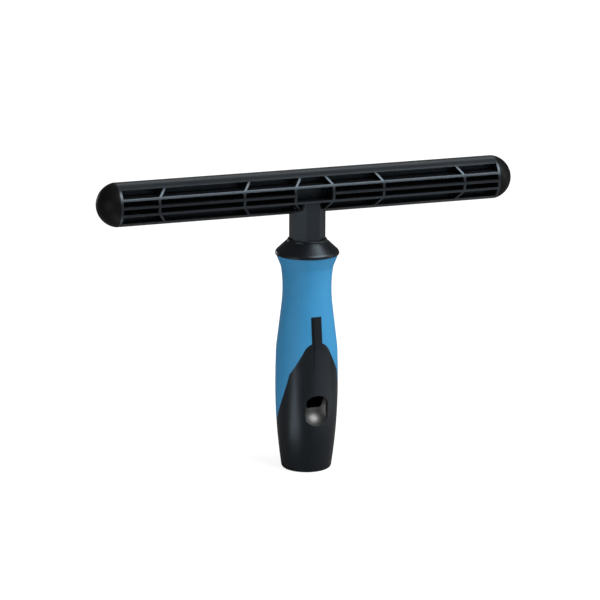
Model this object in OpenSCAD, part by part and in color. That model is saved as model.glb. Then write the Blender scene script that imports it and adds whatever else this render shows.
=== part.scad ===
// Window scrubber handle: a ribbed T-bar that carries a washing sleeve, on a two-colour grip.
// X runs along the bar, Z up the handle, and the thumb scoop faces -Y.
// The origin is the centre of the pole socket's mouth, on the flat end of the handle.

/* [Bar] */
// Length of the bar over both domed caps
bar_length = 250; // [190:5:450]
// Diameter of the bar that the sleeve slides over
bar_d = 25; // [23:0.5:28]
// Thickness of each long fin
fin_t = 1.4; // [1:0.1:1.8]
// Height from one long fin to the next
fin_pitch = 4.5; // [4.2:0.1:4.8]
// Thickness of the upright web between front and back
web_t = 2; // [1.4:0.1:3]
// Wall of the curved top and bottom flanges
flange_t = 1.8; // [1.2:0.1:2.2]
// Height of the flange lips above and below the bar's axis
lip_z = 9.5; // [8.6:0.1:10.2]
// Thickness of the upright cross ribs
rib_t = 1.5; // [1:0.1:2.2]
// Distance from the middle to the ribs beside the neck
neck_rib_x = 11.5; // [11:0.5:16]
// Distance from the middle to the next pair of ribs
first_rib_x = 42; // [34:1:50]
// Distance between the ribs further out
rib_pitch = 50; // [30:1:60]
// Run of each rib towards the middle where it meets a flange
rib_lean = 4; // [2:0.5:6]
// Thickness of the round plate that closes each end of the ribs
end_plate_t = 1.5; // [1.2:0.1:3]

/* [End caps] */
// Height of a domed cap above its end plate
cap_h = 10.5; // [9:0.5:11.5]
// Diameter of the stem that holds a cap in the bar
stem_d = 4; // [3:0.2:4.6]
// Length of that stem
stem_len = 8; // [5:0.5:12]

/* [Neck] */
// Size of the eight-sided neck across its flats
neck_af = 19.2; // [18:0.2:20]
// Visible length of the neck between collar and bar
neck_len = 15.15; // [10:0.05:30]
// Size of the eight-sided spigot across its flats
spigot_af = 17; // [15:0.2:17]
// Length of the spigot inside the handle
spigot_len = 34; // [28:0.5:36]

/* [Handle outline] */
// Length of the handle from its flat end to the collar
grip_len = 126.4; // [122:0.2:140]
// Diameter of the belly
belly_d = 36.1; // [34:0.1:38]
// Height of the belly
belly_z = 50; // [46:1:54]
// Slope of the side just above the bottom edge, in degrees
base_angle = 8.4; // [7:0.1:10]
// Radius of the rounded bottom edge
base_round = 2; // [1:0.1:2.2]
// Height where the belly turns into the taper
shoulder_z = 69.5; // [66:0.5:71]
// Slope of the belly where it turns, in degrees
shoulder_angle = 2; // [1:0.1:4]
// Height where the straight taper starts
taper_z = 74.2; // [73:0.2:78]
// Slope of the straight taper, in degrees
taper_angle = 6.9; // [6:0.1:8]
// Height where the straight taper ends
taper_end_z = 96; // [92:0.5:98]
// Height of the waist
waist_z = 107; // [104:0.5:109]
// Slope at the top of the waist, in degrees
waist_angle = 8; // [6:0.1:10]
// Length of the flare below the collar
flare_len = 8.4; // [7:0.1:9]
// Length of the flare's straight part
cone_len = 6.2; // [4:0.1:6.4]
// Slope of the flare's straight part, in degrees
cone_angle = 22; // [16:0.5:24]

/* [Collar] */
// Height of the collar
collar_h = 8.9; // [8:0.1:11]
// Wall of the small ring on top of the collar, outside the neck's corners
ring_wall = 0.9; // [0.4:0.1:1.4]
// Height of that ring
ring_h = 1.4; // [0.6:0.1:2]
// Step from the ring out to the collar's shoulder
ring_step = 0.8; // [0.4:0.1:1.2]
// Radius of the collar's rounded rim
collar_round = 2.8; // [2:0.1:3]
// Step of the collar's rim outside the grip
collar_step = 0.45; // [0:0.05:0.8]
// Diameter of the plug under the collar
plug_d = 22.4; // [21.6:0.1:23]
// Length of that plug
plug_len = 4; // [2:0.5:4.5]

/* [Grip covers] */
// Thickness of the covers over the core
cover_t = 3.2; // [2.4:0.1:3.4]
// Radius of the arch's rounded top
arch_round = 8.3; // [6:0.1:9]
// Height of the arch's top
arch_z = 77.7; // [76:0.1:80]
// Fall of the arch's flanks for each millimetre outwards
arch_fall = 2; // [1.6:0.1:2.4]
// Radius of the sweeping cut down the sides of the soft grip
sweep_r = 75; // [70:1:80]
// Height where that sweep crosses the middle of the handle
sweep_z = 33; // [30:0.1:36]
// Slope of the sweep where it crosses the middle, in degrees
sweep_angle = 57; // [54:1:59]
// Width of the tongue above the arch
tongue_w = 6.3; // [5:0.1:8]
// Height of the tongue's top end
tongue_z = 92.4; // [88:0.1:98]
// Width of the raised spine on the tongue
spine_w = 3.7; // [2.5:0.1:4.5]
// Height of the spine above the surface
spine_h = 0.7; // [0.4:0.1:1.2]
// Height of the spine's lower end
spine_z = 61; // [56:0.5:66]
// Length of bare tongue above the spine
spine_margin = 1.2; // [0.6:0.2:3]

/* [Thumb scoop] */
// Width of the scoop's outline
scoop_w = 13.4; // [12:0.1:15]
// Height of the outline's lower edge
scoop_z = 28.2; // [26:0.1:30]
// Height of the whole outline
scoop_h = 18.8; // [17:0.1:20]
// Radius of the outline's corners
scoop_corner = 5.5; // [3:0.1:5.9]
// Radius of the dished bottom
dish_r = 9.2; // [8.8:0.1:10]
// Distance of the dish's centre in front of the surface
dish_out = 1.6; // [1.2:0.1:2.4]
// Width of the hole through to the pole socket
hole_w = 9.4; // [8:0.1:11]
// Height of the hole's lower edge above the outline's
hole_rise = 9.8; // [8:0.1:11]
// Height of the hole
hole_h = 8.2; // [6:0.1:8.6]
// Margin of the window frame around the scoop
frame_t = 2; // [1.5:0.1:3]

/* [Pole socket] */
// Diameter of the straight mouth
mouth_d = 21; // [20:0.1:22]
// Length of the straight mouth
mouth_len = 12; // [8:0.5:16]
// Diameter at the top of the tapered part
taper_d = 17.6; // [16.6:0.2:18.6]
// Depth of the whole socket
socket_len = 62; // [58:0.5:66]
// Wall of the core around the mouth
mouth_wall = 1.8; // [1.2:0.1:2]
// Height of the core's straight foot
core_foot = 11; // [8:0.5:16]

/* [Screw] */
// Shank diameter of the screw that holds the head
screw_d = 4.9; // [4:0.1:5.5]
// Length of the shank
screw_len = 26; // [20:0.5:28]
// Diameter of the screw's head
screw_head_d = 8.8; // [8:0.1:9.6]
// Height of the screw's head
screw_head_h = 3.2; // [2.8:0.1:4]
// Diameter of the washer
washer_d = 10; // [9.6:0.1:10.2]
// Thickness of the washer
washer_t = 1; // [0.6:0.1:1.6]
// Thickness of the floor between spigot and screw head
floor_t = 6; // [4:0.5:8]

/* [Hidden] */
$fn = 96;

// Clearance on each side between pieces that slide together
fit_gap = 0.05;
// Clearance at the blind end of a hole
end_gap = 0.5;
// Reach of a cutting shape past the face that it opens
over = 1;
// Longest straight piece that stands in for a large arc
arc_step = 2.5;
// Largest turn between two cones of the handle's full side, in degrees
side_turn = 1.1;
// Straight pieces in each half of the arch's rounded top
arch_steps = 8;
// Straight pieces in each corner of the scoop and its hole
corner_steps = 6;
hole_corner = 2;
neck_sides = 8;
// Height of the middle of the collar's rounded rim above the grip
rim_rise = 0.4;
// Clearances on each side of the screw and its washer
shank_gap = 0.2;
washer_gap = 0.15;
passage_gap = 0.3;
// Spare depth of the screw's pilot hole
pilot_spare = 2;
// Cross recess in the screw's head
slot_w = 1.2;
slot_len = 5.7;
slot_depth = 2.2;

bar_r = bar_d / 2;
plate_x = bar_length / 2 - cap_h;
dome_r = (cap_h * cap_h + bar_r * bar_r) / (2 * cap_h);
boss_d = 2 * (fin_pitch - fin_t);
neck_corner_r = neck_af / 2 / cos(180 / neck_sides);
head_z = grip_len + collar_h + neck_len + bar_r;

// Distances of the cross ribs from the middle of the bar
last_rib_margin = 12;
rib_places = concat([neck_rib_x],
    [for (x = first_rib_x; x < plate_x - last_rib_margin; x = x + rib_pitch) x]);

// Heights along the handle's side and the side's slope at each of them
heights = [
    base_round * (1 - sin(base_angle)), belly_z, shoulder_z, taper_z, taper_end_z,
    waist_z, grip_len - flare_len, grip_len - cone_len, grip_len,
];
angles = [
    base_angle, 0, -shoulder_angle, -taper_angle, -taper_angle,
    0, waist_angle, cone_angle, cone_angle,
];
top = len(heights) - 1;
belly_r = belly_d / 2;

// Gain of radius from one height to the next, on an arc or a straight line
function gain(i) = (heights[i + 1] - heights[i]) * tan((angles[i] + angles[i + 1]) / 2);
function radius(i) = i == 0 ? belly_r - gain(0) : i == 1 ? belly_r : radius(i - 1) + gain(i - 1);
function arc_fn(r) = max($fn, ceil(2 * PI * r / arc_step));

rim_r = radius(top);
collar_r = rim_r + collar_step;
core_foot_r = mouth_d / 2 + mouth_wall;
floor_z = grip_len - spigot_len - end_gap;
screw_z = floor_z - floor_t - washer_t;
pilot_len = screw_len - floor_t - washer_t + pilot_spare;
passage_d = washer_d + 2 * passage_gap;

black = [0.09, 0.09, 0.1];
blue = [0.16, 0.45, 0.7];
steel = [0.7, 0.7, 0.72];

// Post with flat sides to the front, back, left and right
module neck_post(af, h) {
    rotate([0, 0, 180 / neck_sides])
        cylinder(h = h, r = af / 2 / cos(180 / neck_sides), $fn = neck_sides);
}

// Turns what is drawn up Z from the bar's middle so that it points along +X at the bar's height
module on_bar() {
    translate([0, 0, head_z]) rotate([0, 90, 0]) children();
}

module both_ends() {
    children();
    mirror([1, 0, 0]) children();
}

// Cross section of the bar: web, three fins and two curved flanges
module bar_section() {
    intersection() {
        circle(r = bar_r);
        for (z = [-fin_pitch, 0, fin_pitch])
            translate([z - fin_t / 2, -bar_r]) square([fin_t, bar_d]);
    }
    square([bar_d - flange_t, web_t], center = true);
    difference() {
        circle(r = bar_r);
        circle(r = bar_r - flange_t);
        square([2 * lip_z, bar_d + over], center = true);
    }
}

// Front outline of one cross rib: upright at the fins, leaning inwards to the flanges
module rib_outline() {
    lean = rib_lean * (bar_r - fin_pitch) / (lip_z - fin_pitch);
    near = -rib_t / 2;
    far = rib_t / 2;
    polygon([
        [near, -fin_pitch], [near - lean, -bar_r], [far - lean, -bar_r], [far, -fin_pitch],
        [far, fin_pitch], [far - lean, bar_r], [near - lean, bar_r], [near, fin_pitch],
    ]);
}

module cross_ribs() {
    intersection() {
        translate([-plate_x, 0, 0]) rotate([0, 90, 0]) cylinder(h = 2 * plate_x, r = bar_r);
        rotate([90, 0, 0]) linear_extrude(height = bar_d + over, center = true)
            for (x = rib_places) {
                translate([x, 0]) rib_outline();
                translate([-x, 0]) mirror([1, 0]) rib_outline();
            }
    }
}

// Opening of the middle fin between the two ribs beside the neck
module middle_window() {
    w = 2 * neck_rib_x - rib_t;
    h = fin_t + over;
    for (y = [-web_t / 2 - bar_d, web_t / 2])
        translate([-w / 2, y, -h / 2]) cube([w, bar_d, h]);
}

module bar_head() {
    spigot_z = grip_len - spigot_len;
    neck_top = head_z - fin_pitch;
    color(black) difference() {
        union() {
            translate([0, 0, head_z]) {
                difference() {
                    rotate([0, 90, 0]) linear_extrude(height = 2 * plate_x, center = true)
                        bar_section();
                    middle_window();
                }
                cross_ribs();
            }
            both_ends() on_bar() {
                translate([0, 0, plate_x - end_plate_t]) cylinder(h = end_plate_t, r = bar_r);
                translate([0, 0, plate_x - stem_len - end_plate_t])
                    cylinder(h = stem_len + end_plate_t, d = boss_d);
            }
            translate([0, 0, spigot_z]) neck_post(spigot_af, spigot_len + over);
            translate([0, 0, grip_len]) neck_post(neck_af, neck_top - grip_len);
        }
        both_ends() on_bar()
            translate([0, 0, plate_x - stem_len - end_gap])
                cylinder(h = stem_len + end_gap + over, d = stem_d + 2 * fit_gap);
        translate([0, 0, spigot_z - over]) cylinder(h = pilot_len + over, d = screw_d);
    }
}

// Dome and stem in one piece, drawn up Z from the end plate
module end_cap() {
    color(black) on_bar() translate([0, 0, plate_x]) rotate_extrude() {
        intersection() {
            translate([0, cap_h - dome_r]) circle(r = dome_r);
            square([bar_d, bar_d]);
        }
        translate([0, -stem_len]) square([stem_d / 2, stem_len + over]);
    }
}

module right_end_cap() {
    end_cap();
}

module left_end_cap() {
    mirror([1, 0, 0]) end_cap();
}

// Ring that closes the top of the handle, with a plug that seats in the core
module collar() {
    collar_top = grip_len + collar_h;
    ring_r = neck_corner_r + ring_wall;
    rim = [collar_r - collar_round, grip_len + rim_rise];
    edge = [ring_r + ring_step, collar_top - ring_h];
    to_edge = edge - rim;
    // The shoulder runs straight down from this edge and touches the rounded rim here
    touch_angle = atan2(to_edge[1], to_edge[0]) - acos(collar_round / norm(to_edge));
    touch = rim + collar_round * [cos(touch_angle), sin(touch_angle)];
    color(black) difference() {
        rotate_extrude() {
            intersection() {
                union() {
                    translate(rim) circle(r = collar_round);
                    polygon([
                        [0, grip_len], [rim[0], grip_len], rim, touch, edge,
                        [ring_r, edge[1]], [ring_r, collar_top], [0, collar_top],
                    ]);
                }
                translate([0, grip_len]) square([2 * collar_r, collar_h]);
            }
            translate([0, grip_len - plug_len]) square([plug_d / 2, plug_len + over]);
        }
        translate([0, 0, grip_len]) neck_post(neck_af + 2 * fit_gap, collar_h + over);
        translate([0, 0, grip_len - plug_len - over])
            neck_post(spigot_af + 2 * fit_gap, plug_len + 2 * over);
    }
}

// Point of the handle's side between height i and the next, t from 0 to 1
function side_point(i, t) =
    let (
        z0 = heights[i],
        z1 = heights[i + 1],
        bend = sin(angles[i + 1]) - sin(angles[i]),
        slope = asin(sin(angles[i]) + t * bend)
    )
    [radius(i) + t * (z1 - z0) * tan((angles[i] + slope) / 2), z0 + t * (z1 - z0)];

// One stretch of the handle's profile, from height i to the next
module stretch(i) {
    z0 = heights[i];
    z1 = heights[i + 1];
    bend = sin(angles[i + 1]) - sin(angles[i]);
    if (bend > 0) {
        // Where the side is hollow it is a true arc, whose centre lies outside the handle
        r = (z1 - z0) / bend;
        difference() {
            translate([0, z0]) square([max(radius(i), radius(i + 1)) + over, z1 - z0]);
            translate([radius(i) + r * cos(angles[i]), z0 - r * sin(angles[i])])
                circle(r = r, $fn = arc_fn(r));
        }
    } else {
        // A full side is a chain of cones, each turned by a small angle from the last
        steps = max(1, ceil(abs(angles[i + 1] - angles[i]) / side_turn));
        polygon(concat([[0, z0]], [for (s = [0:steps]) side_point(i, s / steps)], [[0, z1]]));
    }
}

// Half of the handle's outline, from the axis outwards
module profile() {
    for (i = [0:top - 1]) stretch(i);
    round_x = radius(0) - base_round * cos(base_angle);
    square([round_x, heights[0]]);
    intersection() {
        translate([round_x, base_round]) circle(r = base_round);
        translate([round_x, 0]) square([2 * base_round, heights[0]]);
    }
}

// Half of the core's outline, one cover thickness inside the handle's
module core_profile() {
    polygon(concat(
        [[0, 0], [core_foot_r, 0], [core_foot_r, core_foot]],
        [for (i = [1:top]) [radius(i) - cover_t, heights[i]]],
        [[0, grip_len]]));
}

module pole_socket() {
    rotate_extrude() polygon([
        [0, -over], [mouth_d / 2, -over], [mouth_d / 2, mouth_len],
        [taper_d / 2, socket_len], [0, socket_len],
    ]);
}

// Corner points of a rounded outline in the front view, counted round from the lower right
function rounded_outline(w, z, h, r) =
    let (
        x = w / 2 - r,
        centres = [[x, z + r], [x, z + h - r], [-x, z + h - r], [-x, z + r]]
    )
    [for (c = [0:3]) for (k = [0:corner_steps])
        let (a = 90 * (c - 1 + k / corner_steps))
        centres[c] + r * [cos(a), sin(a)]];

// What an outline in the front view covers, from the handle's middle out past its front
module seen_from_front() {
    rotate([90, 0, 0]) linear_extrude(height = belly_d) children();
}

// Dished scoop for the thumb, and the hole through it to the lock button of a pole
module scoop_cut() {
    intersection() {
        seen_from_front() polygon(rounded_outline(scoop_w, scoop_z, scoop_h, scoop_corner));
        translate([0, -belly_r - dish_out, scoop_z + scoop_h / 2]) sphere(r = dish_r);
    }
    seen_from_front()
        polygon(rounded_outline(hole_w, scoop_z + hole_rise, hole_h, hole_corner));
}

// Block that the window frame fills in the front wall of the core
module frame_block(gap) {
    margin = frame_t + gap;
    translate([-scoop_w / 2 - margin, -belly_d, scoop_z - margin])
        cube([scoop_w + 2 * margin, belly_d, scoop_h + 2 * margin]);
}

module handle_core() {
    color(black) difference() {
        rotate_extrude() core_profile();
        pole_socket();
        translate([0, 0, socket_len - over])
            cylinder(h = floor_z - floor_t - socket_len + over, d = passage_d);
        translate([0, 0, floor_z - floor_t - over])
            cylinder(h = floor_t + 2 * over, d = screw_d + 2 * shank_gap);
        translate([0, 0, floor_z]) neck_post(spigot_af + 2 * fit_gap, spigot_len + over);
        translate([0, 0, grip_len - plug_len - end_gap])
            cylinder(h = plug_len + over, d = plug_d + 2 * fit_gap);
        frame_block(fit_gap);
    }
}

// Right-hand edge of the lower cover seen from the front: flank, rounded top and tongue
function arch_edge() =
    let (
        flank = atan(1 / arch_fall),
        end = acos(tongue_w / 2 / arch_round),
        centre_z = arch_z - arch_round,
        side = belly_r + over,
        touch = arch_round * [cos(flank), sin(flank)] + [0, centre_z]
    )
    concat(
        [[side, -over], [side, touch[1] - arch_fall * (side - touch[0])]],
        [for (k = [0:arch_steps])
            let (a = flank + (end - flank) * k / arch_steps)
            arch_round * [cos(a), sin(a)] + [0, centre_z]],
        [[tongue_w / 2, tongue_z]]);

module arch_outline() {
    edge = arch_edge();
    last = len(edge) - 1;
    polygon(concat(edge, [for (k = [last:-1:0]) [-edge[k][0], edge[k][1]]]));
}

// Space of the lower cover: below the arch and in front of the sweep
module cover_space() {
    difference() {
        rotate([90, 0, 0]) linear_extrude(height = belly_d + 2 * over, center = true)
            arch_outline();
        translate([0, sweep_r * sin(sweep_angle), sweep_z + sweep_r * cos(sweep_angle)])
            rotate([0, 90, 0])
                cylinder(h = belly_d + 4 * over, r = sweep_r, center = true, $fn = arc_fn(sweep_r));
    }
}

// Raised spine down the middle of the tongue, which fades out on the belly
module spine() {
    intersection() {
        rotate_extrude() intersection() {
            translate([spine_h, 0]) profile();
            square([belly_r, grip_len]);
        }
        translate([-spine_w / 2, -belly_d, spine_z])
            cube([spine_w, belly_d, tongue_z - spine_margin - spine_z]);
    }
}

module lower_cover() {
    color(black) difference() {
        union() {
            intersection() {
                rotate_extrude() profile();
                cover_space();
            }
            spine();
        }
        difference() {
            rotate_extrude() core_profile();
            frame_block(0);
        }
        pole_socket();
        scoop_cut();
    }
}

module soft_grip() {
    color(blue) difference() {
        rotate_extrude() difference() {
            profile();
            core_profile();
        }
        cover_space();
    }
}

module head_screw() {
    color(steel) translate([0, 0, screw_z]) difference() {
        union() {
            translate([0, 0, -screw_head_h]) cylinder(h = screw_head_h, d = screw_head_d);
            cylinder(h = screw_len, d = screw_d - 2 * fit_gap);
        }
        translate([0, 0, -screw_head_h - over]) linear_extrude(height = slot_depth + over) {
            square([slot_w, slot_len], center = true);
            square([slot_len, slot_w], center = true);
        }
    }
}

module screw_washer() {
    color(steel) translate([0, 0, screw_z]) difference() {
        cylinder(h = washer_t, d = washer_d);
        translate([0, 0, -over]) cylinder(h = washer_t + 2 * over, d = screw_d + 2 * washer_gap);
    }
}

bar_head();
left_end_cap();
right_end_cap();
collar();
handle_core();
lower_cover();
soft_grip();
head_screw();
screw_washer();
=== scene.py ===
import math

import bmesh
import bpy
from mathutils import Matrix, Vector


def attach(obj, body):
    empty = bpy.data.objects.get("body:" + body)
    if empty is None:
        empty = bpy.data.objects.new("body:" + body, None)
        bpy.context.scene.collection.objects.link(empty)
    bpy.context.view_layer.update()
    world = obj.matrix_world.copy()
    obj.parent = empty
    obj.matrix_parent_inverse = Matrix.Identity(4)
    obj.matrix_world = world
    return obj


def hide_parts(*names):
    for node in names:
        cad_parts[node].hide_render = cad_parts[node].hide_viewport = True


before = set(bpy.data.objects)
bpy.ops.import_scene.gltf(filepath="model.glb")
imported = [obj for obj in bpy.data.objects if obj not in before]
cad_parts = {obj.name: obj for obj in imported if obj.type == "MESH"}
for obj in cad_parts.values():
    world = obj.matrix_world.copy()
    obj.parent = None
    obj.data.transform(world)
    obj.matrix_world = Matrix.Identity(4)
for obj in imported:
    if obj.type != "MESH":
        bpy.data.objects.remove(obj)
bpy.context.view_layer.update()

# Sizes in metres
MM = 0.001

# Joining of a CAD node's loose triangles, and of faces that hardly turn from each other
WELD_GAP = 0.002 * MM
FLAT_TURN = math.radians(0.25)

# Rounding of the pieces' edges, wherever two faces turn sharply
BAR_EDGE = 0.45 * MM
CAP_EDGE = 0.35 * MM
COVER_EDGE = 0.3 * MM
SEAM_EDGE = 0.22 * MM
SCREW_EDGE = 0.12 * MM
EDGE_STEPS = 2
ROUND_PROFILE = 0.5
SHARP_TURN = math.radians(25)

# Camera, fitted to the photograph, with its lens and sensor in millimetres
VIEW_TURN = math.radians(-20.88)
VIEW_RISE = math.radians(13.94)
VIEW_ROLL = math.radians(0.265)
VIEW_DISTANCE = 1.8958
VIEW_TARGET = Vector((0.0, 0.0, 0.10075))
VIEW_REACH = 20.0
LENS = 199.0
SENSOR = 36.0
FRAME_PIXELS = 600.0
TARGET_PIXEL = (306.93, 296.93)

# Floor that bends up into a wall
FLOOR_SIDE = 6.0
FLOOR_FRONT = -3.0
FLOOR_BACK = 3.0
BEND_RADIUS = 1.5
BEND_STEPS = 24
WALL_HEIGHT = 3.0

# Brightness of the white surroundings: seen by the camera, as soft fill, and mirrored in the part
SEEN_GLOW = 0.85
AIR_SEEN = 1.0
AIR_FILL = 0.42
AIR_MIRRORED = 0.1
CARD_SEEN = 0.3
CARD_WHITE = 0.42
CARD_MIRRORED = 0.19

# Bowl of the thumb scoop in the lower cover, worn smooth
BOWL_MIDDLE = Vector((0.0, -19.65, 37.6)) * MM
BOWL_RADIUS = 9.2 * MM
BOWL_IOR = 1.8

# A face belongs to the bowl if it lies this near its sphere and looks at its middle this squarely
BOWL_SPARE = 0.4 * MM
BOWL_FACING = 0.9

# Drifts of tone and gloss from the flow of the melt, in millimetres and in shares of the noise
DRIFT_SIZE = 16.0
DRIFT_DETAIL = 3.0
DRIFT_TONE = (0.32, 0.68)
DRIFT_GLOSS = (0.3, 0.7)
GLOSS_SPREAD = 0.04

# Faint scuffs, which are wider than they are high, and the finest detail of the grain
SCUFF_SIZE = 2.2
SCUFF_DETAIL = 6.0
SCUFF_SQUEEZE = (1.0, 1.0, 3.0)
SCUFF_SHARE = (0.56, 0.74)
GRAIN_DETAIL = 5.0

# The mould line fades out over this distance to each side
LINE_REACH = 0.12 * MM

# Squeezes below 1 draw the drifts out along the bar, or up and down the handle
ALONG_BAR = (0.25, 1.0, 1.0)
ALONG_COVER = (1.0, 1.0, 0.4)
ALONG_GRIP = (1.0, 1.0, 0.5)

# Turned steel, with its rings and drifts in millimetres
RING_SIZE = 1.1
RING_WOBBLE = 0.6
RING_DEPTH = 0.01
STEEL_DRIFT_SIZE = 2.5
STEEL_DRIFT_DETAIL = 4.0
STEEL_ROUGHNESS = (0.24, 0.42)

# Colours
WHITE = (1.0, 1.0, 1.0)
COOL_SHEEN = (0.7, 0.86, 1.0)
BAR_DARK = (0.0042, 0.0046, 0.0056)
BAR_LIGHT = (0.0068, 0.0072, 0.0085)
COVER_DARK = (0.0044, 0.0047, 0.0058)
COVER_LIGHT = (0.0074, 0.0078, 0.0092)
DOME_DARK = (0.0028, 0.003, 0.0034)
DOME_LIGHT = (0.0044, 0.0046, 0.0052)
BLUE_DARK = (0.034, 0.237, 0.475)
BLUE_LIGHT = (0.042, 0.262, 0.51)
STEEL_DARK = (0.42, 0.43, 0.45)
STEEL_LIGHT = (0.66, 0.65, 0.62)


def outward(turn, rise):
    """The direction this far round from the front towards the right, and this far up."""
    return Vector((
        math.sin(turn) * math.cos(rise),
        -math.cos(turn) * math.cos(rise),
        math.sin(rise),
    ))


def place_camera():
    """The camera at the photograph's place, with the target at its pixel in the photograph."""
    back = outward(VIEW_TURN, VIEW_RISE)
    right = Vector((math.cos(VIEW_TURN), math.sin(VIEW_TURN), 0.0))
    up = back.cross(right)
    rolled_right = right * math.cos(VIEW_ROLL) + up * math.sin(VIEW_ROLL)
    rolled_up = up * math.cos(VIEW_ROLL) - right * math.sin(VIEW_ROLL)
    data = bpy.data.cameras.new("photo_camera")
    data.lens = LENS
    data.sensor_width = SENSOR
    data.clip_end = VIEW_REACH
    middle = FRAME_PIXELS / 2
    data.shift_x = (middle - TARGET_PIXEL[0]) / FRAME_PIXELS
    data.shift_y = (TARGET_PIXEL[1] - middle) / FRAME_PIXELS
    camera = bpy.data.objects.new("photo_camera", data)
    bpy.context.scene.collection.objects.link(camera)
    axes = Matrix((rolled_right, rolled_up, back)).transposed()
    camera.matrix_world = Matrix.Translation(VIEW_TARGET + back * VIEW_DISTANCE) @ axes.to_4x4()
    bpy.context.scene.camera = camera


def smooth_object(name, bm):
    """A new object from this bmesh, shaded smooth."""
    mesh = bpy.data.meshes.new(name)
    bm.to_mesh(mesh)
    bm.free()
    for polygon in mesh.polygons:
        polygon.use_smooth = True
    piece = bpy.data.objects.new(name, mesh)
    bpy.context.scene.collection.objects.link(piece)
    return piece


# Materials

def plain_material(name):
    material = bpy.data.materials.new(name)
    material.use_nodes = True
    tree = material.node_tree
    return material, tree, tree.nodes["Principled BSDF"]


def noise(tree, size, detail, coordinates, squeeze=None):
    """Noise with blotches about this many millimetres wide, divided by the squeeze on each axis."""
    node = tree.nodes.new("ShaderNodeTexNoise")
    node.inputs["Scale"].default_value = 1 / (size * MM)
    node.inputs["Detail"].default_value = detail
    source = coordinates.outputs["Object"]
    if squeeze:
        mapping = tree.nodes.new("ShaderNodeMapping")
        mapping.inputs["Scale"].default_value = squeeze
        tree.links.new(source, mapping.inputs["Vector"])
        source = mapping.outputs["Vector"]
    tree.links.new(source, node.inputs["Vector"])
    return node.outputs["Fac"]


def remap(tree, value, given, wanted):
    """The value moved from the given range to the wanted one, and held inside it."""
    node = tree.nodes.new("ShaderNodeMapRange")
    node.inputs["From Min"].default_value = given[0]
    node.inputs["From Max"].default_value = given[1]
    node.inputs["To Min"].default_value = wanted[0]
    node.inputs["To Max"].default_value = wanted[1]
    tree.links.new(value, node.inputs["Value"])
    return node.outputs["Result"]


def blend_colours(tree, factor, first, second):
    """The first colour where the factor is 0, and the second where it is 1."""
    node = tree.nodes.new("ShaderNodeMix")
    node.data_type = "RGBA"
    node.inputs["A"].default_value = (*first, 1.0)
    node.inputs["B"].default_value = (*second, 1.0)
    tree.links.new(factor, node.inputs["Factor"])
    return node.outputs["Result"]


def add(tree, first, second):
    node = tree.nodes.new("ShaderNodeMath")
    node.operation = "ADD"
    tree.links.new(first, node.inputs[0])
    tree.links.new(second, node.inputs[1])
    return node.outputs["Value"]


def mould_line(tree, coordinates, height):
    """A fine raised line where the two halves of the mould met, midway from front to back."""
    split = tree.nodes.new("ShaderNodeSeparateXYZ")
    tree.links.new(coordinates.outputs["Object"], split.inputs["Vector"])
    distance = tree.nodes.new("ShaderNodeMath")
    distance.operation = "ABSOLUTE"
    tree.links.new(split.outputs["Y"], distance.inputs[0])
    return remap(tree, distance.outputs["Value"], (0.0, LINE_REACH), (height, 0.0))


def raise_surface(tree, shader, height, depth):
    """Bumps that stand this many millimetres proud where the height is 1."""
    bump = tree.nodes.new("ShaderNodeBump")
    bump.inputs["Strength"].default_value = 1.0
    bump.inputs["Distance"].default_value = depth * MM
    tree.links.new(height, bump.inputs["Height"])
    tree.links.new(bump.outputs["Normal"], shader.inputs["Normal"])


def moulded(
        name, dark, light, roughness, grain, depth, specular,
        line=0.0, streaks=None, wear=0.06, sheen=WHITE):
    """Moulded plastic or rubber, with the width and depth of its grain in millimetres.

    A fine grain from the mould, broad drifts of tone and gloss from the flow of the melt,
    and faint scuffs that catch the light.
    """
    material, tree, shader = plain_material(name)
    coordinates = tree.nodes.new("ShaderNodeTexCoord")
    drift = noise(tree, DRIFT_SIZE, DRIFT_DETAIL, coordinates, streaks)
    tone = remap(tree, drift, DRIFT_TONE, (0.0, 1.0))
    tree.links.new(blend_colours(tree, tone, dark, light), shader.inputs["Base Color"])
    marks = noise(tree, SCUFF_SIZE, SCUFF_DETAIL, coordinates, SCUFF_SQUEEZE)
    scuffs = remap(tree, marks, SCUFF_SHARE, (0.0, wear))
    gloss = remap(tree, drift, DRIFT_GLOSS, (roughness - GLOSS_SPREAD, roughness + GLOSS_SPREAD))
    tree.links.new(add(tree, gloss, scuffs), shader.inputs["Roughness"])
    height = noise(tree, grain, GRAIN_DETAIL, coordinates)
    if line:
        height = add(tree, height, mould_line(tree, coordinates, line))
    raise_surface(tree, shader, height, depth)
    shader.inputs["Specular IOR Level"].default_value = specular
    shader.inputs["Specular Tint"].default_value = (*sheen, 1.0)
    return material


def worn_smooth():
    """The cover's plastic where thumbs have rubbed its grain away."""
    material = moulded(
        "worn_bowl", COVER_DARK, COVER_LIGHT, roughness=0.45, grain=0.3, depth=0.008, specular=1.0)
    material.node_tree.nodes["Principled BSDF"].inputs["IOR"].default_value = BOWL_IOR
    return material


def turned_steel(name):
    """Zinc-plated steel with fine rings from the lathe."""
    material, tree, shader = plain_material(name)
    coordinates = tree.nodes.new("ShaderNodeTexCoord")
    rings = tree.nodes.new("ShaderNodeTexWave")
    rings.wave_type = "RINGS"
    rings.rings_direction = "Z"
    rings.inputs["Scale"].default_value = 1 / (RING_SIZE * MM)
    rings.inputs["Distortion"].default_value = RING_WOBBLE
    tree.links.new(coordinates.outputs["Object"], rings.inputs["Vector"])
    drift = noise(tree, STEEL_DRIFT_SIZE, STEEL_DRIFT_DETAIL, coordinates)
    colour = blend_colours(tree, drift, STEEL_DARK, STEEL_LIGHT)
    tree.links.new(colour, shader.inputs["Base Color"])
    tree.links.new(remap(tree, drift, DRIFT_GLOSS, STEEL_ROUGHNESS), shader.inputs["Roughness"])
    raise_surface(tree, shader, rings.outputs["Fac"], RING_DEPTH)
    shader.inputs["Metallic"].default_value = 1.0
    return material


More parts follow.
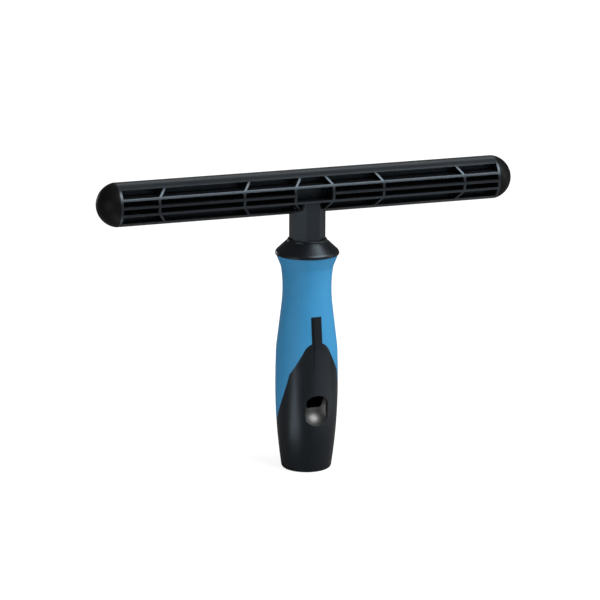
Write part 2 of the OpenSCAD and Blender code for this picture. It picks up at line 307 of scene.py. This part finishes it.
# Each finish under the name of the record's material slot
FINISHES = {
    "bar_plastic": moulded(
        "satin_bar", BAR_DARK, BAR_LIGHT, roughness=0.36, grain=0.32, depth=0.03,
        specular=0.76, line=0.8, streaks=ALONG_BAR, sheen=COOL_SHEEN),
    "cap_plastic": moulded(
        "satin_dome", DOME_DARK, DOME_LIGHT, roughness=0.42, grain=0.32, depth=0.025,
        specular=0.15),
    "collar_plastic": moulded(
        "satin_collar", BAR_DARK, BAR_LIGHT, roughness=0.32, grain=0.3, depth=0.02,
        specular=0.5, line=0.8, wear=0.03, sheen=COOL_SHEEN),
    "core_plastic": moulded(
        "matt_core", BAR_DARK, BAR_LIGHT, roughness=0.48, grain=0.4, depth=0.02,
        specular=0.4),
    "cover_plastic": moulded(
        "smooth_cover", COVER_DARK, COVER_LIGHT, roughness=0.3, grain=0.26, depth=0.026,
        specular=0.56, line=0.9, streaks=ALONG_COVER, sheen=COOL_SHEEN),
    "grip_rubber": moulded(
        "blue_rubber", BLUE_DARK, BLUE_LIGHT, roughness=0.52, grain=0.24, depth=0.05,
        specular=0.24, line=1.2, streaks=ALONG_GRIP),
    "screw_steel": turned_steel("turned_steel"),
}


# Pieces

# CAD node, name of its softened copy, rounding of its edges, and material slot
SOFTENED = [
    ("bar_head", "ribbed_bar", BAR_EDGE, "bar_plastic"),
    ("left_end_cap", "left_dome", CAP_EDGE, "cap_plastic"),
    ("right_end_cap", "right_dome", CAP_EDGE, "cap_plastic"),
    ("collar", "rounded_collar", COVER_EDGE, "collar_plastic"),
    ("handle_core", "socket_core", COVER_EDGE, "core_plastic"),
    ("lower_cover", "scooped_cover", SEAM_EDGE, "cover_plastic"),
    ("soft_grip", "blue_grip", SEAM_EDGE, "grip_rubber"),
    ("head_screw", "cross_screw", SCREW_EDGE, "screw_steel"),
    ("screw_washer", "flat_washer", SCREW_EDGE, "screw_steel"),
]


def softened_copy(node, name, edge):
    """A copy of a CAD node with its flat faces joined and its sharp edges rounded."""
    bm = bmesh.new()
    bm.from_mesh(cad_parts[node].data)
    bmesh.ops.remove_doubles(bm, verts=bm.verts, dist=WELD_GAP)
    bmesh.ops.dissolve_limit(
        bm, angle_limit=FLAT_TURN, use_dissolve_boundaries=False, verts=bm.verts, edges=bm.edges)
    piece = smooth_object(name, bm)
    rounding = piece.modifiers.new("rounding", "BEVEL")
    rounding.limit_method = "ANGLE"
    rounding.angle_limit = SHARP_TURN
    rounding.width = edge
    rounding.segments = EDGE_STEPS
    rounding.profile = ROUND_PROFILE
    rounding.use_clamp_overlap = True
    even = piece.modifiers.new("even_shading", "WEIGHTED_NORMAL")
    even.keep_sharp = True
    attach(piece, "root")
    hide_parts(node)
    return piece


def smooth_bowl(cover):
    """The bowl of the scoop takes its own finish, because thumbs rub it smooth."""
    cover.data.materials.append(worn_smooth())
    for polygon in cover.data.polygons:
        inward = BOWL_MIDDLE - polygon.center
        facing = polygon.normal.dot(inward.normalized())
        if abs(inward.length - BOWL_RADIUS) < BOWL_SPARE and facing > BOWL_FACING:
            polygon.material_index = 1


def dress_part():
    """Each CAD node gets a softened copy with its own finish."""
    for node, name, edge, slot in SOFTENED:
        piece = softened_copy(node, name, edge)
        piece.data.materials.append(FINISHES[slot])
        if node == "lower_cover":
            smooth_bowl(piece)


# Studio

def made(result, kind):
    """The vertices or edges that an extrusion made."""
    return [item for item in result["geom"] if isinstance(item, kind)]


def backdrop():
    """A pale floor that curves up into a wall behind the part."""
    bm = bmesh.new()
    front = [bm.verts.new((side * FLOOR_SIDE, FLOOR_FRONT, 0.0)) for side in (-1.0, 1.0)]
    floor = bmesh.ops.extrude_edge_only(bm, edges=[bm.edges.new(front)])
    back = made(floor, bmesh.types.BMVert)
    bmesh.ops.translate(bm, verts=back, vec=(0.0, FLOOR_BACK - FLOOR_FRONT, 0.0))
    bmesh.ops.spin(
        bm, geom=back + made(floor, bmesh.types.BMEdge), cent=(0.0, FLOOR_BACK, BEND_RADIUS),
        axis=(1.0, 0.0, 0.0), angle=math.radians(90), steps=BEND_STEPS)
    wall_place = max(v.co.y for v in bm.verts)
    bend_top = [e for e in bm.edges if all(abs(v.co.y - wall_place) < MM for v in e.verts)]
    wall = bmesh.ops.extrude_edge_only(bm, edges=bend_top[:1])
    bmesh.ops.translate(bm, verts=made(wall, bmesh.types.BMVert), vec=(0.0, 0.0, WALL_HEIGHT))
    bmesh.ops.recalc_face_normals(bm, faces=bm.faces)
    surround = smooth_object("studio_floor", bm)
    surround.data.materials.append(studio_white())


def by_ray(tree, seen, fill, mirrored):
    """A value that differs for the camera, for soft light on the part and for its reflections."""
    path = tree.nodes.new("ShaderNodeLightPath")
    value = remap(tree, path.outputs["Is Camera Ray"], (0.0, 1.0), (fill, seen))
    shine = tree.nodes.new("ShaderNodeMix")
    tree.links.new(path.outputs["Is Glossy Ray"], shine.inputs["Factor"])
    tree.links.new(value, shine.inputs["A"])
    shine.inputs["B"].default_value = mirrored
    return shine.outputs["Result"]


def studio_white():
    """White card that glows for the camera alone, so that it stays white with a faint shadow."""
    material, tree, shader = plain_material("studio_white")
    tree.links.new(by_ray(tree, CARD_SEEN, CARD_WHITE, CARD_MIRRORED), shader.inputs["Base Color"])
    shader.inputs["Roughness"].default_value = 1.0
    shader.inputs["Specular IOR Level"].default_value = 0.0
    shader.inputs["Emission Color"].default_value = (*WHITE, 1.0)
    tree.links.new(by_ray(tree, SEEN_GLOW, 0.0, 0.0), shader.inputs["Emission Strength"])
    return material


def white_air():
    """The white air all round, which fills the shadows softly."""
    world = bpy.data.worlds.new("studio_air")
    bpy.context.scene.world = world
    world.use_nodes = True
    tree = world.node_tree
    background = tree.nodes["Background"]
    background.inputs["Color"].default_value = (*WHITE, 1.0)
    tree.links.new(by_ray(tree, AIR_SEEN, AIR_FILL, AIR_MIRRORED), background.inputs["Strength"])


def area_lamp(name, width, length, power):
    """A rectangular lamp that lights the part and doesn't show to the camera."""
    data = bpy.data.lights.new(name, "AREA")
    data.shape = "RECTANGLE"
    data.size = width
    data.size_y = length
    data.energy = power
    lamp = bpy.data.objects.new(name, data)
    lamp.visible_camera = False
    bpy.context.scene.collection.objects.link(lamp)
    return lamp


def soft_light(name, turn, rise, distance, size, power):
    """A softbox that faces the part, turned in degrees from the front towards the right."""
    away = outward(math.radians(turn), math.radians(rise))
    lamp = area_lamp(name, *size, power)
    lamp.rotation_mode = "QUATERNION"
    lamp.rotation_quaternion = away.to_track_quat("Z", "Y")
    lamp.location = VIEW_TARGET + away * distance


def floor_card(name, turn, near, far, width, glow):
    """A pale card that lies on the floor beside the part, to be mirrored in its gloss."""
    angle = math.radians(turn)
    middle = (near + far) / 2
    lamp = area_lamp(name, width, far - near, glow * math.pi * width * (far - near))
    lamp.rotation_euler = (math.pi, 0.0, angle)
    lamp.location = (math.sin(angle) * middle, -math.cos(angle) * middle, MM)


def studio():
    white_air()
    bpy.context.scene.view_settings.view_transform = "Standard"
    backdrop()
    soft_light("key_softbox", turn=40.0, rise=49.0, distance=1.75, size=(1.4, 1.2), power=35.0)
    soft_light("low_softbox", turn=72.0, rise=6.0, distance=1.2, size=(0.35, 0.7), power=1.7)
    soft_light("left_card", turn=-68.0, rise=0.0, distance=1.2, size=(0.7, 0.7), power=2.6)
    soft_light("edge_card", turn=-168.0, rise=-1.0, distance=1.7, size=(0.4, 0.14), power=1.2)
    soft_light("top_card", turn=155.0, rise=42.0, distance=1.6, size=(0.9, 0.35), power=1.4)
    floor_card("left_floor_card", turn=-63.0, near=0.06, far=0.36, width=0.05, glow=1.8)
    floor_card("near_floor_card", turn=42.0, near=0.08, far=0.46, width=0.22, glow=0.4)
    floor_card("far_floor_card", turn=27.0, near=0.64, far=1.04, width=0.44, glow=0.42)


place_camera()
studio()
dress_part()
